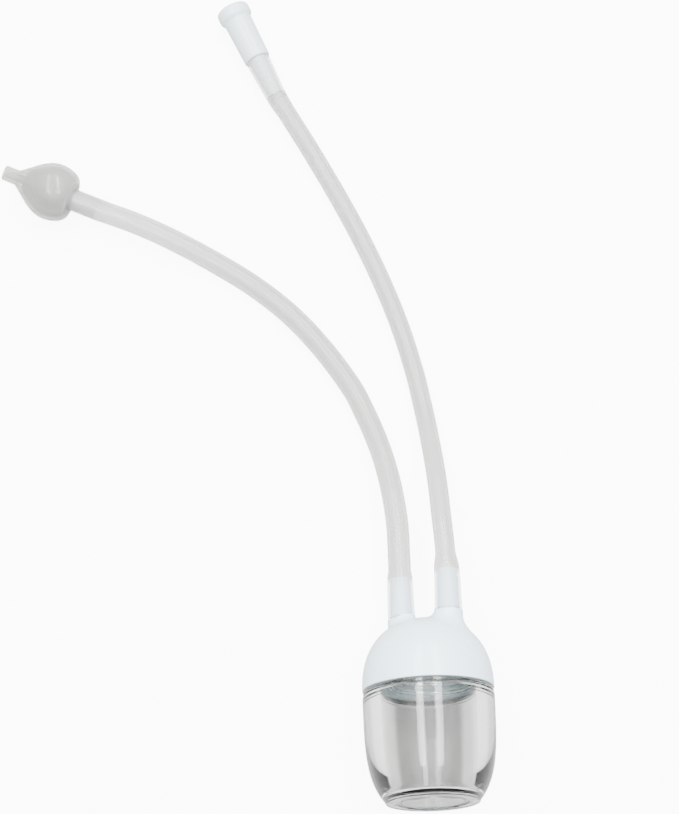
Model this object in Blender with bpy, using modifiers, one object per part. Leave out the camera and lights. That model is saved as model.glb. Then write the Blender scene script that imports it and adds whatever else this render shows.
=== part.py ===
"""Mouth-suction nasal aspirator lying on a table.

A clear cup screws up into a white two-port cap. A wide hose runs from the
lower port to a soft nose tip, and a narrower hose from the upper port to a
mouthpiece. Metres, +Z up. The cup's axis lies along +Y, ports towards +Y,
and the origin is on the table under the middle of the cap and cup.
"""
import math

import bmesh
import bpy
from mathutils import Matrix, Vector
from mathutils.geometry import interpolate_bezier

# ---------------------------------------------------------------- clearances
TOUCH_GAP = 0.0003          # between two pieces that rest on each other
THREAD_RADIAL_GAP = 0.0004  # crest of one thread to the wall that faces it
HOSE_FIT_GAP = 0.0003       # hose bore to the stem inside it
HOSE_END_GAP = 0.0006       # hose end to the shoulder it is pushed up to
SINK = 0.0003               # how deep a ridge is rooted in its wall
EDGE_CHAMFER = 0.0004       # on small edges
CUTTER_OVERSHOOT = 0.0010   # how far a cutter goes past the wall it opens

# ----------------------------------------------------------------------- cup
CUP_RADIUS = 0.0200         # outside, at the mouth
CUP_BODY_HEIGHT = 0.0326    # shoulder to foot
CUP_BORE_RADIUS = 0.0146    # at the mouth
CUP_BORE_DRAFT = 0.0003     # how much narrower the bore is at its floor
CUP_FLOOR = 0.0024
CUP_FLOOR_FILLET = 0.0014
CUP_CLOSING_DEPTH = 0.0045  # below the foot, where the wall's curve would close
CUP_WALL_POWER = 4.0        # how late the wall starts to turn inwards
CUP_WALL_FULLNESS = 0.4     # how slowly it then does
CUP_SHOULDER_ROUND = 0.0004
CUP_FOOT_ROUND = 0.0008
CUP_RECESS_RADIUS = 0.0109
CUP_RECESS_DEPTH = 0.0006
CUP_PAD_RADIUS = 0.0096     # raised pad inside the recess
CUP_PAD_HEIGHT = 0.0003

# ------------------------------------------------------------ neck and thread
NECK_HEIGHT = 0.0088        # above the shoulder
NECK_WALL = 0.0016
THREAD_DEPTH = 0.0008
THREAD_WIDTH = 0.0009
THREAD_CREST_TAPER = 0.00015  # how much narrower the crest is on each side
THREAD_PITCH = 0.0025
THREAD_TURNS = 1.75
THREAD_START = 0.0012       # rim plane to the middle of the cup ridge's start

# ----------------------------------------------------------------- seal ring
RING_HEIGHT = 0.0012
RING_INSET = 0.0002         # how far its edge stays inside the cup's

# ----------------------------------------------------------------------- cap
CAP_RADIUS = 0.0200
CAP_HEIGHT = 0.0218
CAP_ROUNDNESS = 2.3         # power of the dome's curve
CAP_WALL = 0.0020
CAP_BORE_DEPTH = 0.0078
CAP_TURN = math.radians(-35.0)  # ports' plane, turned about the cup's axis

# --------------------------------------------------------------------- ports
PORT_WIDEST_OFFSET = 0.0086  # each port's axis to the cup's axis, if the neck has room
PORT_RISE = 0.0014          # shoulder above the dome's top
PORT_RADIUS = 0.0043
PORT_FLARE = 0.0029         # concave flare at the foot of each port
PORT_FLARE_RISE = 0.0006    # flare's start above the dome at the port's axis
PORT_ROUND = 0.0004
STEM_ROOT_RADIUS = 0.0032   # the stems narrow towards their tips
STEM_TIP_RADIUS = 0.0029
STEM_LENGTH = 0.0120
STEM_BORE_RADIUS = 0.0019
STEM_CHAMFER = 0.0005
NIPPLE_RADIUS = 0.0031      # inner end of the nose port, inside the cap

# --------------------------------------------------------------------- valve
VALVE_RADIUS = 0.0043
VALVE_SLEEVE = 0.0046
VALVE_CONE = 0.0037
VALVE_LIP_RADIUS = 0.0022
VALVE_SLIT_RADIUS = 0.0006
VALVE_NECK_GAP = 0.0004

# --------------------------------------------------------------------- hoses
NOSE_HOSE_RADIUS = 0.0035
NOSE_HOSE_BORE = 0.0025
MOUTH_HOSE_RADIUS = 0.0031
MOUTH_HOSE_BORE = 0.0021
STRETCHED_WALL = 0.0007     # hose wall where a stem stretches it
NOSE_HOSE_TAPER = 0.0035    # length over which the stretch dies away
MOUTH_HOSE_TAPER = 0.0065

# ------------------------------------------------------ nose tip, connector
TIP_NOZZLE_RADIUS = 0.0025
TIP_NOZZLE_BORE = 0.0013
TIP_NOZZLE_LENGTH = 0.0045
TIP_BELL_RADIUS = 0.0094
TIP_CONE_LENGTH = 0.0125    # nozzle root to the bell's widest ring
TIP_HEEL_LENGTH = 0.0072    # widest ring to the bell's back lip
TIP_LIP_RADIUS = 0.0056
TIP_WALL = 0.0012
TIP_SWELL = 1.15            # power of the bell's curve
TIP_SLEEVE_END = 0.0165     # nozzle's end to the end of the inner sleeve
TIP_PITCH = math.radians(4.0)
TIP_HEADING = math.radians(156.6)
CONNECTOR_RADIUS = 0.0026
CONNECTOR_BORE = 0.0016
CONNECTOR_FLANGE = 0.0036
CONNECTOR_FLANGE_LENGTH = 0.0008
CONNECTOR_FRONT = 0.0085
CONNECTOR_BACK = 0.0150

# ---------------------------------------------------------------- mouthpiece
MOUTH_BODY_LENGTH = 0.0158
MOUTH_JOINT_RADIUS = 0.0044
MOUTH_BODY_RADIUS = 0.0047
MOUTH_COLLAR_RADIUS = 0.0056
MOUTH_COLLAR_LENGTH = 0.0044
MOUTH_COLLAR_ROUND = 0.0010
MOUTH_BORE_RADIUS = 0.0016
MOUTH_OPENING_RADIUS = 0.0028
MOUTH_STEM_ROOT_RADIUS = 0.00305
MOUTH_STEM_TIP_RADIUS = 0.0024
MOUTH_STEM_LENGTH = 0.0140
MOUTH_HEADING = math.radians(114.0)
MOUTH_PITCH = math.radians(2.4)

# -------------------------------------------------- free hose routes, metres
ROUTE_AXIS_HEIGHT = 0.0200   # height of the cup's axis that the routes are drawn for
NOSE_ROUTE = [
    (-0.0070, 0.0458, 0.0143), (-0.0071, 0.0538, 0.0127), (-0.0078, 0.0623, 0.0105),
    (-0.0090, 0.0708, 0.0080), (-0.0108, 0.0793, 0.0058), (-0.0132, 0.0873, 0.0043),
    (-0.0161, 0.0950, 0.0036), (-0.0194, 0.1023, 0.0036), (-0.0281, 0.1157, 0.0036),
    (-0.0383, 0.1280, 0.0036), (-0.0502, 0.1386, 0.0036), (-0.0634, 0.1474, 0.0046),
    (-0.0768, 0.1548, 0.0066), (-0.0879, 0.1599, 0.0082),
]
NOSE_TIP_END = (-0.1305, 0.1780, 0.0112)
MOUTH_ROUTE = [
    (0.0067, 0.0458, 0.0236), (0.0063, 0.0536, 0.0213), (0.0060, 0.0624, 0.0176),
    (0.0055, 0.0716, 0.0131), (0.0047, 0.0808, 0.0087), (0.0037, 0.0898, 0.0054),
    (0.0024, 0.0984, 0.0035), (0.0009, 0.1066, 0.0032), (-0.0031, 0.1224, 0.0032),
    (-0.0083, 0.1380, 0.0032), (-0.0145, 0.1534, 0.0032), (-0.0215, 0.1686, 0.0032),
    (-0.0291, 0.1837, 0.0032), (-0.0332, 0.1914, 0.0034), (-0.0375, 0.1991, 0.0038),
]
MOUTH_JOINT = (-0.0471, 0.2190, 0.0050)

# ------------------------------------------------------------ derived places
AXIS_HEIGHT = max(CUP_RADIUS, CAP_RADIUS)
PORT_OFFSET = min(PORT_WIDEST_OFFSET, CUP_BORE_RADIUS - VALVE_RADIUS - VALVE_NECK_GAP)
SHOULDER = -(RING_HEIGHT + 2 * TOUCH_GAP)
FOOT = SHOULDER - CUP_BODY_HEIGHT
NECK_TOP = SHOULDER + NECK_HEIGHT
NECK_RADIUS = CUP_BORE_RADIUS + NECK_WALL
CAP_BORE_RADIUS = NECK_RADIUS + THREAD_DEPTH + THREAD_RADIAL_GAP
PORT_SHOULDER = CAP_HEIGHT + PORT_RISE
STEM_TOP = PORT_SHOULDER + STEM_LENGTH
RIM_Y = -0.5 * (STEM_TOP + FOOT)
TIP_LENGTH = TIP_NOZZLE_LENGTH + TIP_CONE_LENGTH + TIP_HEEL_LENGTH
CONNECTOR_FLANGE_START = TIP_SLEEVE_END + TOUCH_GAP

BORE_TURN = math.radians(4.0)  # keeps the bore's edges off the port's edges

ROUND_STEPS = 40
CUP_WALL_RINGS = 9
SMALL_STEPS = 24
TIP_STEPS = 28
BORE_STEPS = 16
THREAD_STEPS = 28            # for each turn
HOSE_BEVEL = 4
SMOOTH_ANGLE = math.radians(35.0)

PARTS = "nasal_aspirator"
HELPERS = "cutters_and_guides"


# ---------------------------------------------------------- small utilities
def clear_scene():
    """Remove every object that the file starts with."""
    for item in list(bpy.data.objects):
        bpy.data.objects.remove(item, do_unlink=True)


def collection(name):
    """The collection of that name, made on first use."""
    found = bpy.data.collections.get(name)
    if found is None:
        found = bpy.data.collections.new(name)
        bpy.context.scene.collection.children.link(found)
    return found


def material(name, colour, roughness, alpha=1.0, transmission=0.0):
    """A Principled material of one colour."""
    made = bpy.data.materials.new(name)
    made.use_nodes = True
    shader = made.node_tree.nodes["Principled BSDF"]
    shader.inputs["Base Color"].default_value = (*colour, 1.0)
    shader.inputs["Roughness"].default_value = roughness
    shader.inputs["Metallic"].default_value = 0.0
    shader.inputs["Alpha"].default_value = alpha
    shader.inputs["Transmission Weight"].default_value = transmission
    made.diffuse_color = (*colour, alpha)
    return made


def link(item, helper=False):
    """Put an object in the parts' collection, or hide it as a helper."""
    collection(HELPERS if helper else PARTS).objects.link(item)
    if helper:
        item.hide_render = True
        item.display_type = "WIRE"
    return item


def empty(name, location, turn):
    """An empty that carries the pieces built round one axis."""
    item = bpy.data.objects.new(name, None)
    collection(HELPERS).objects.link(item)
    item.rotation_mode = "QUATERNION"
    item.location = location
    item.rotation_quaternion = turn.to_quaternion()
    return item


def turned(name, profile, steps=ROUND_STEPS, closed=False, helper=False):
    """A turned solid: the profile's (radius, height) points round local Z."""
    mesh = bpy.data.meshes.new(name)
    count = len(profile)
    edges = [(i, i + 1) for i in range(count - 1)]
    if closed:
        edges.append((count - 1, 0))
    mesh.from_pydata([(r, 0.0, z) for r, z in profile], edges, [])
    item = link(bpy.data.objects.new(name, mesh), helper)
    screw = item.modifiers.new("turn", "SCREW")
    screw.axis = "Z"
    screw.angle = 2.0 * math.pi
    screw.steps = steps
    screw.render_steps = steps
    screw.use_merge_vertices = True
    screw.merge_threshold = 0.000005
    return item


def arc(centre, radius, start, end, count):
    """Points on an arc in the (radius, height) plane, angles in degrees."""
    points = []
    for i in range(count + 1):
        angle = math.radians(start + (end - start) * i / count)
        points.append((centre[0] + radius * math.cos(angle),
                       centre[1] + radius * math.sin(angle)))
    return points


def boolean(item, other, operation):
    """Join or cut with the exact solver."""
    step = item.modifiers.new(operation.lower() + "_" + other.name, "BOOLEAN")
    step.operation = operation
    step.solver = "EXACT"
    step.object = other


def as_mesh(item, name):
    """A mesh copy of an object as its modifiers leave it."""
    bpy.context.view_layer.update()
    graph = bpy.context.evaluated_depsgraph_get()
    mesh = bpy.data.meshes.new_from_object(item.evaluated_get(graph))
    mesh.name = name
    return mesh


def dome_height(radius, rim_radius, height):
    """Height of a dome's surface at one distance from its axis."""
    return height * (1.0 - (radius / rim_radius) ** CAP_ROUNDNESS) ** (1.0 / CAP_ROUNDNESS)


def dome_curve(rim_radius, height, count, lowest=0.0):
    """Dome points from the top to the height given, outer side down."""
    points = []
    last = math.asin((lowest / height) ** (CAP_ROUNDNESS / 2.0))
    for i in range(count + 1):
        angle = math.pi / 2.0 + (last - math.pi / 2.0) * i / count
        radius = rim_radius * max(math.cos(angle), 0.0) ** (2.0 / CAP_ROUNDNESS)
        points.append((radius if i else 0.0, height * math.sin(angle) ** (2.0 / CAP_ROUNDNESS)))
    return points


def helical_ridge(name, root, crest, start_height, seat):
    """One thread ridge with closed ends, as a helper solid."""
    wide = THREAD_WIDTH / 2.0
    narrow = wide - THREAD_CREST_TAPER
    (inner, inner_half), (outer, outer_half) = sorted([(root, wide), (crest, narrow)])
    profile = [(outer, start_height + outer_half), (outer, start_height - outer_half),
               (inner, start_height - inner_half), (inner, start_height + inner_half)]
    guide = turned(name + "_turn", profile, closed=True, helper=True)
    screw = guide.modifiers["turn"]
    screw.angle = 2.0 * math.pi * THREAD_TURNS
    screw.screw_offset = THREAD_PITCH * THREAD_TURNS
    screw.steps = int(THREAD_STEPS * THREAD_TURNS)
    screw.render_steps = screw.steps
    screw.use_merge_vertices = False
    mesh = as_mesh(guide, name)
    bpy.data.objects.remove(guide, do_unlink=True)
    work = bmesh.new()
    work.from_mesh(mesh)
    rims = [edge for edge in work.edges if edge.is_boundary]
    bmesh.ops.holes_fill(work, edges=rims, sides=8)
    bmesh.ops.recalc_face_normals(work, faces=work.faces)
    work.to_mesh(mesh)
    work.free()
    item = link(bpy.data.objects.new(name, mesh), helper=True)
    item.parent = seat
    return item


# ------------------------------------------------------------------ the cup
def cup_wall_radius(depth):
    """Outer radius of the cup's wall at a depth below the rim plane."""
    closing = -FOOT + CUP_CLOSING_DEPTH
    return CUP_RADIUS * (1.0 - (depth / closing) ** CUP_WALL_POWER) ** CUP_WALL_FULLNESS


def build_collection_cup(seat, clear):
    """Thick-walled clear cup with a threaded neck."""
    floor = FOOT + CUP_FLOOR
    floor_radius = CUP_BORE_RADIUS - CUP_BORE_DRAFT
    fillet = CUP_FLOOR_FILLET
    chamfer = NECK_WALL / 4.0
    profile = [(0.0, floor)]
    profile += arc((floor_radius - fillet, floor + fillet), fillet, -90.0, 0.0, 5)
    profile += [(CUP_BORE_RADIUS, NECK_TOP - chamfer), (CUP_BORE_RADIUS + chamfer, NECK_TOP),
                (NECK_RADIUS - chamfer, NECK_TOP), (NECK_RADIUS, NECK_TOP - chamfer),
                (NECK_RADIUS, SHOULDER)]
    edge = CUP_SHOULDER_ROUND
    profile += arc((cup_wall_radius(-SHOULDER) - edge, SHOULDER - edge), edge, 90.0, 0.0, 3)
    last = -FOOT - CUP_FOOT_ROUND
    for i in range(1, CUP_WALL_RINGS + 1):
        share = (i / CUP_WALL_RINGS) ** 0.8
        depth = -SHOULDER + edge + (last + SHOULDER - edge) * share
        profile.append((cup_wall_radius(depth), -depth))
    foot_radius = cup_wall_radius(last)
    profile.append((foot_radius - 0.45 * CUP_FOOT_ROUND, FOOT + 0.3 * CUP_FOOT_ROUND))
    profile.append((foot_radius - 1.3 * CUP_FOOT_ROUND, FOOT))
    recess = FOOT + CUP_RECESS_DEPTH
    pad = recess - CUP_PAD_HEIGHT
    profile += [(CUP_RECESS_RADIUS, FOOT), (CUP_RECESS_RADIUS - CUP_RECESS_DEPTH / 2.0, recess),
                (CUP_PAD_RADIUS, recess), (CUP_PAD_RADIUS - CUP_PAD_HEIGHT, pad), (0.0, pad)]
    cup = turned("collection_cup", profile)
    cup.parent = seat
    ridge = helical_ridge("cup_thread", NECK_RADIUS - SINK, NECK_RADIUS + THREAD_DEPTH,
                          THREAD_START, seat)
    boolean(cup, ridge, "UNION")
    cup.data.materials.append(clear)
    return cup


def build_seal_ring(seat, silicone):
    """Flat ring on the cup's shoulder, round the neck."""
    top = -TOUCH_GAP
    bottom = top - RING_HEIGHT
    inner = NECK_RADIUS + TOUCH_GAP
    outer = CUP_RADIUS - RING_INSET
    edge = RING_HEIGHT / 4.0
    profile = [(outer - edge, top), (outer, top - edge), (outer, bottom + edge),
               (outer - edge, bottom), (inner, bottom), (inner, top)]
    ring = turned("seal_ring", profile, closed=True)
    ring.parent = seat
    ring.data.materials.append(silicone)
    return ring


# ------------------------------------------------------------------ the cap
def port_profile(bottom):
    """A port from its stem's tip down to a flared foot inside the dome."""
    flare_top = dome_height(PORT_OFFSET, CAP_RADIUS, CAP_HEIGHT) + PORT_FLARE_RISE
    profile = [(0.0, STEM_TOP), (STEM_TIP_RADIUS - STEM_CHAMFER, STEM_TOP),
               (STEM_TIP_RADIUS, STEM_TOP - 2.0 * STEM_CHAMFER),
               (STEM_ROOT_RADIUS, PORT_SHOULDER)]
    profile += arc((PORT_RADIUS - PORT_ROUND, PORT_SHOULDER - PORT_ROUND), PORT_ROUND, 90.0, 0.0, 2)
    profile += arc((PORT_RADIUS + PORT_FLARE, flare_top), PORT_FLARE, 180.0, 250.0, 5)
    profile += [(profile[-1][0], bottom), (0.0, bottom)]
    return profile


def valve_seat_top():
    """Highest place for the valve's sleeve under the sloping ceiling."""
    ceiling = dome_height(PORT_OFFSET + VALVE_RADIUS, CAP_BORE_RADIUS, CAP_HEIGHT - CAP_WALL)
    return ceiling - 2.0 * TOUCH_GAP


def build_cap_hollow(axis_seat, cap_seat):
    """Everything inside the cap that is air, as one cutter."""
    inside = dome_curve(CAP_BORE_RADIUS - 2.0 * SINK, CAP_HEIGHT - CAP_WALL, 7, CAP_BORE_DEPTH)
    inside += [(CAP_BORE_RADIUS, CAP_BORE_DEPTH), (CAP_BORE_RADIUS, -CAP_WALL), (0.0, -CAP_WALL)]
    hollow = turned("cap_hollow", inside, helper=True)
    hollow.parent = cap_seat

    ridge = helical_ridge("cap_thread", CAP_BORE_RADIUS + SINK, NECK_RADIUS + THREAD_RADIAL_GAP,
                          THREAD_START + THREAD_PITCH / 2.0, axis_seat)
    boolean(hollow, ridge, "DIFFERENCE")

    nipple_end = valve_seat_top() - VALVE_SLEEVE + 2.0 * TOUCH_GAP
    nipple = turned("inner_nipple", [(0.0, CAP_HEIGHT), (NIPPLE_RADIUS, CAP_HEIGHT),
                                     (NIPPLE_RADIUS, nipple_end), (0.0, nipple_end)],
                    steps=SMALL_STEPS, helper=True)
    nipple.parent = cap_seat
    nipple.location.x = -PORT_OFFSET
    boolean(hollow, nipple, "DIFFERENCE")

    for name, side in (("nose_bore", -1.0), ("mouth_bore", 1.0)):
        bore = turned(name, [(0.0, STEM_TOP + CAP_WALL), (STEM_BORE_RADIUS, STEM_TOP + CAP_WALL),
                             (STEM_BORE_RADIUS, nipple_end - CAP_WALL),
                             (0.0, nipple_end - CAP_WALL)], steps=BORE_STEPS, helper=True)
        bore.parent = cap_seat
        bore.location.x = side * PORT_OFFSET
        bore.rotation_euler.z = BORE_TURN
        boolean(hollow, bore, "UNION")
    return hollow


def build_dome_cap(axis_seat, cap_seat, white):
    """White cap: dome, two stems, threaded skirt and an inner nipple."""
    profile = dome_curve(CAP_RADIUS, CAP_HEIGHT, 10) + [(0.0, 0.0)]
    cap = turned("dome_cap", profile)
    cap.parent = cap_seat
    for name, side in (("nose_port", -1.0), ("mouth_port", 1.0)):
        low = dome_height(PORT_OFFSET + PORT_RADIUS, CAP_RADIUS, CAP_HEIGHT) - CAP_WALL
        port = turned(name, port_profile(low), steps=SMALL_STEPS, helper=True)
        port.parent = cap_seat
        port.location.x = side * PORT_OFFSET
        boolean(cap, port, "UNION")
    boolean(cap, build_cap_hollow(axis_seat, cap_seat), "DIFFERENCE")
    cap.data.materials.append(white)
    return cap


def build_backflow_valve(cap_seat, silicone):
    """Silicone one-way valve pushed over the inner end of the nose port."""
    top = valve_seat_top()
    step = top - VALVE_SLEEVE
    lip = step - VALVE_CONE
    inner = NIPPLE_RADIUS + HOSE_FIT_GAP
    chamfer = EDGE_CHAMFER
    profile = [(VALVE_RADIUS - chamfer, top), (VALVE_RADIUS, top - chamfer), (VALVE_RADIUS, step),
               (VALVE_LIP_RADIUS, lip), (VALVE_SLIT_RADIUS, lip),
               (STEM_BORE_RADIUS, step - chamfer), (STEM_BORE_RADIUS, step + TOUCH_GAP),
               (inner, step + TOUCH_GAP), (inner, top)]
    valve = turned("backflow_valve", profile, steps=SMALL_STEPS, closed=True)
    valve.parent = cap_seat
    valve.location.x = -PORT_OFFSET
    valve.data.materials.append(silicone)
    return valve


# -------------------------------------------------------- tip and mouthpiece
def heading_turn(heading, pitch):
    """Rotation that points local +Z along a heading, raised by a pitch."""
    direction = Vector((math.cos(heading) * math.cos(pitch),
                        math.sin(heading) * math.cos(pitch), math.sin(pitch)))
    return direction, direction.to_track_quat("Z", "Y").to_matrix()


def build_nose_tip(seat, silicone):
    """Soft bell with a short nozzle, and a sleeve inside for the connector."""
    root = -TIP_NOZZLE_LENGTH
    widest = root - TIP_CONE_LENGTH
    back = -TIP_LENGTH
    fit = CONNECTOR_RADIUS + HOSE_FIT_GAP
    sleeve_radius = fit + TIP_WALL
    nozzle_round = (TIP_NOZZLE_RADIUS - TIP_NOZZLE_BORE) / 2.0
    outside = arc((TIP_NOZZLE_RADIUS - nozzle_round, -nozzle_round), nozzle_round, 90.0, 0.0, 2)
    outside.append((TIP_NOZZLE_RADIUS, root + TIP_WALL))
    reach = TIP_BELL_RADIUS - TIP_NOZZLE_RADIUS
    for i in range(7):
        share = i / 6.0
        swell = math.sin(share * math.pi / 2.0) ** TIP_SWELL
        outside.append((TIP_NOZZLE_RADIUS + reach * swell, root - TIP_CONE_LENGTH * share))
    heel = TIP_BELL_RADIUS - TIP_LIP_RADIUS
    for i in range(1, 6):
        angle = math.radians(90.0 * i / 5.0)
        outside.append((TIP_LIP_RADIUS + heel * math.cos(angle),
                        widest - TIP_HEEL_LENGTH * math.sin(angle)))
    inside = []
    for i in range(6):
        angle = math.radians(90.0 - 90.0 * i / 5.0)
        inside.append((TIP_LIP_RADIUS + (heel - TIP_WALL) * math.cos(angle),
                       widest - (TIP_HEEL_LENGTH - TIP_WALL) * math.sin(angle)))
    inside[0] = (TIP_LIP_RADIUS - TIP_WALL / 2.0, back + TIP_WALL / 2.0)
    inner_root = root - 3.0 * TIP_WALL
    inner_reach = TIP_BELL_RADIUS - TIP_WALL - sleeve_radius
    for i in range(1, 5):
        share = 1.0 - i / 5.0
        swell = math.sin(share * math.pi / 2.0) ** TIP_SWELL
        inside.append((sleeve_radius + inner_reach * swell,
                       inner_root + (widest - inner_root) * share))
    sleeve_end = -TIP_SLEEVE_END
    seat_depth = sleeve_end + CONNECTOR_FRONT + 2.0 * TOUCH_GAP
    inside += [(sleeve_radius, inner_root), (sleeve_radius, sleeve_end), (fit, sleeve_end),
               (fit, seat_depth), (TIP_NOZZLE_BORE, seat_depth),
               (TIP_NOZZLE_BORE, -nozzle_round / 2.0)]
    tip = turned("nose_tip", outside + inside, steps=TIP_STEPS, closed=True)
    tip.parent = seat
    tip.data.materials.append(silicone)
    return tip


def build_tip_connector(seat, clear):
    """Rigid tube: front stem in the tip's sleeve, back stem in the hose."""
    flange_top = -CONNECTOR_FLANGE_START
    flange_bottom = flange_top - CONNECTOR_FLANGE_LENGTH
    front = flange_top + CONNECTOR_FRONT
    back = flange_bottom - CONNECTOR_BACK
    chamfer = EDGE_CHAMFER
    profile = [(CONNECTOR_RADIUS - chamfer, front), (CONNECTOR_RADIUS, front - chamfer),
               (CONNECTOR_RADIUS, flange_top), (CONNECTOR_FLANGE, flange_top),
               (CONNECTOR_FLANGE, flange_bottom), (CONNECTOR_RADIUS, flange_bottom),
               (CONNECTOR_RADIUS, back + chamfer), (CONNECTOR_RADIUS - chamfer, back),
               (CONNECTOR_BORE, back), (CONNECTOR_BORE, front)]
    part = turned("tip_connector", profile, steps=SMALL_STEPS, closed=True)
    part.parent = seat
    part.data.materials.append(clear)
    return part


def build_mouthpiece(seat, white):
    """Tapered body with a rounded collar, and a stem that the hose grips."""
    end = MOUTH_BODY_LENGTH + MOUTH_COLLAR_LENGTH
    half = MOUTH_COLLAR_LENGTH / 2.0
    bulge = MOUTH_COLLAR_ROUND
    chamfer = EDGE_CHAMFER
    profile = [(MOUTH_OPENING_RADIUS + EDGE_CHAMFER, end)]
    profile += arc((MOUTH_COLLAR_RADIUS - bulge, end - bulge), bulge, 90.0, 0.0, 3)
    profile += arc((MOUTH_COLLAR_RADIUS - bulge, end - 2.0 * half + bulge), bulge, 0.0, -60.0, 3)
    profile += [(MOUTH_BODY_RADIUS, MOUTH_BODY_LENGTH - TOUCH_GAP), (MOUTH_JOINT_RADIUS, chamfer),
                (MOUTH_JOINT_RADIUS - chamfer, 0.0), (MOUTH_STEM_ROOT_RADIUS, 0.0),
                (MOUTH_STEM_TIP_RADIUS, -MOUTH_STEM_LENGTH + chamfer),
                (MOUTH_STEM_TIP_RADIUS - chamfer, -MOUTH_STEM_LENGTH),
                (MOUTH_BORE_RADIUS, -MOUTH_STEM_LENGTH), (MOUTH_BORE_RADIUS, MOUTH_BODY_LENGTH),
                (MOUTH_OPENING_RADIUS, end - chamfer)]
    part = turned("mouthpiece", profile, steps=SMALL_STEPS, closed=True)
    part.parent = seat
    part.data.materials.append(white)
    return part


# -------------------------------------------------------------------- hoses
def smooth_path(points, per_span=16):
    """Dense points on one smooth curve through the route's points."""
    route = [Vector(point) for point in points]
    tangents = []
    for i, point in enumerate(route):
        before = route[max(i - 1, 0)]
        after = route[min(i + 1, len(route) - 1)]
        tangents.append((after - before).normalized())
    dense = []
    for i in range(len(route) - 1):
        start, end = route[i], route[i + 1]
        third = (end - start).length / 3.0
        span = interpolate_bezier(start, start + tangents[i] * third,
                                  end - tangents[i + 1] * third, end, per_span)
        dense += span[:-1]
    dense.append(route[-1])
    return dense


def point_along(dense, distance):
    """The point at a distance along a dense path, straight on past its ends."""
    if distance <= 0.0:
        return dense[0] + (dense[0] - dense[1]).normalized() * -distance
    left = distance
    for start, end in zip(dense, dense[1:]):
        length = (end - start).length
        if left <= length:
            return start.lerp(end, left / length)
        left -= length
    return dense[-1] + (dense[-1] - dense[-2]).normalized() * left


def path_length(dense):
    """Length of a dense path."""
    return sum((end - start).length for start, end in zip(dense, dense[1:]))


def tube_object(name, places, origin, helper):
    """A round tube mesh from (point, radius) places, through a poly curve."""
    curve = bpy.data.curves.new(name + "_curve", "CURVE")
    curve.dimensions = "3D"
    curve.bevel_depth = 1.0
    curve.bevel_resolution = HOSE_BEVEL
    curve.use_fill_caps = True
    spline = curve.splines.new("POLY")
    spline.points.add(len(places) - 1)
    for target, (point, radius) in zip(spline.points, places):
        target.co = (*(point - origin), 1.0)
        target.radius = radius
    guide = bpy.data.objects.new(name + "_guide", curve)
    collection(HELPERS).objects.link(guide)
    guide.location = origin
    mesh = as_mesh(guide, name)
    work = bmesh.new()
    work.from_mesh(mesh)
    bmesh.ops.remove_doubles(work, verts=work.verts, dist=0.000005)
    work.to_mesh(mesh)
    work.free()
    item = link(bpy.data.objects.new(name, mesh), helper)
    item.matrix_world = guide.matrix_world.copy()
    bpy.data.objects.remove(guide, do_unlink=True)
    return item


def hose_places(total, stems, taper, free_radius, stretch):
    """(distance, radius) of one wall of a hose, from its start to its end.

    stems holds (root radius, tip radius, length) at the two ends, and stretch
    is how far the wall stands off a stem.
    """
    (root_a, tip_a, long_a), (root_b, tip_b, long_b) = stems
    long_a += HOSE_FIT_GAP
    long_b += HOSE_FIT_GAP
    free_start, free_end = long_a + taper, total - long_b - taper
    spans = max(int(round((free_end - free_start) / (4.0 * free_radius))), 2)
    places = [(0.0, root_a + stretch), (long_a / 2.0, (root_a + tip_a) / 2.0 + stretch),
              (long_a, tip_a + stretch)]
    places += [(free_start + (free_end - free_start) * i / spans, free_radius)
               for i in range(spans + 1)]
    places += [(total - long_b, tip_b + stretch),
               (total - long_b / 2.0, (root_b + tip_b) / 2.0 + stretch),
               (total, root_b + stretch)]
    return places


def hung(route, port_height, lift):
    """A free route whose fall from the port is stretched to a port that sits higher."""
    heights = [z for _, _, z in route]
    low = min(heights)
    down = heights.index(low)
    stretch = (port_height - low) / (port_height - lift - low)
    return [(x, y, low + (z - low) * stretch) for x, y, z in route[:down]] + route[down:]


def build_hose(name, route, radius, bore, taper, stems, silicone):
    """A hollow hose whose ends are stretched over two stems."""
    dense = smooth_path(route)
    total = path_length(dense)
    outside = hose_places(total, stems, taper, radius, HOSE_FIT_GAP + STRETCHED_WALL)
    inside = hose_places(total, stems, taper, bore, HOSE_FIT_GAP)
    inside[0] = (-CUTTER_OVERSHOOT, inside[0][1])
    inside[-1] = (total + CUTTER_OVERSHOOT, inside[-1][1])
    origin = dense[0].copy()
    hose = tube_object(name, [(point_along(dense, at), size) for at, size in outside],
                       origin, helper=False)
    cutter = tube_object(name + "_bore", [(point_along(dense, at), size) for at, size in inside],
                         origin, helper=True)
    boolean(hose, cutter, "DIFFERENCE")
    hose.data.materials.append(silicone)
    return hose


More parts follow.
